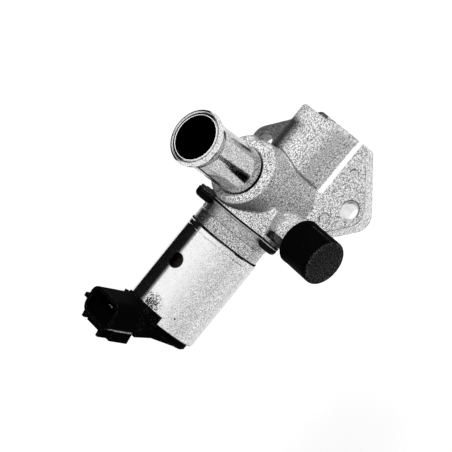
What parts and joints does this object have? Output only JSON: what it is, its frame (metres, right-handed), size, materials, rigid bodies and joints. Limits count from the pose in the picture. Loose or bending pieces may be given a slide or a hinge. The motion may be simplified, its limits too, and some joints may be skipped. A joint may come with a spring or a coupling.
{
  "type": "idle air control valve",
  "caption": "Solenoid air bypass valve: cast flange and passage block, upright steel hose nipple, capped side port, round can and angled plug socket; a sprung disc shuts the passage.",
  "frame": {"origin": "on the mounting face, midway between the two bolt holes", "axes": "+X along the solenoid towards its connector end, +Y along the row of bolt holes towards the capped side port, +Z out of the mounting face along the hose nipple"},
  "size_m": [0.1267, 0.0773, 0.0772],
  "materials": {
    "cast_aluminium": "as cast, fine grain",
    "bright_steel": "bright plated",
    "turned_steel": "turned",
    "soft_iron": "turned",
    "black_steel": "black oxide",
    "spring_steel": "drawn wire",
    "black_rubber": "matt",
    "gasket_fibre": "matt",
    "black_plastic": "satin",
    "bobbin_plastic": "matt",
    "copper_wire": "enamelled",
    "bronze": "turned",
    "tin_plate": "tinned"
  },
  "bodies": {
    "housing": {"valve_body": "cast_aluminium", "hose_nipple": "bright_steel", "blanking_cap": "black_rubber", "valve_seat": "bronze", "joint_gasket": "gasket_fibre", "solenoid_flange": "cast_aluminium", "joint_screws": "black_steel", "front_pole_plate": "turned_steel", "flange_seal": "black_rubber", "solenoid_can": "bright_steel", "guide_bush": "bronze", "return_spring": "spring_steel", "armature_sleeve": "bronze", "pole_piece": "soft_iron", "stop_washer": "bronze", "coil_bobbin": "bobbin_plastic", "coil_winding": "copper_wire", "rear_flux_washer": "soft_iron", "connector_cover": "black_plastic", "terminals": "tin_plate", "cover_seal": "black_rubber"},
    "plunger": {"armature": "soft_iron", "valve_stem": "turned_steel", "valve_disc": "turned_steel", "disc_seal": "black_rubber", "spring_seat": "turned_steel", "retaining_clip": "spring_steel"}
  },
  "joints": [
    {"name": "plunger_slide", "type": "slide", "parent": "housing", "child": "plunger", "axis": [1, 0, 0], "range_m": [0, 0.004], "stiffness_N_per_m": 500, "springref_m": -0.005, "deforming": ["return_spring"]}
  ]
}
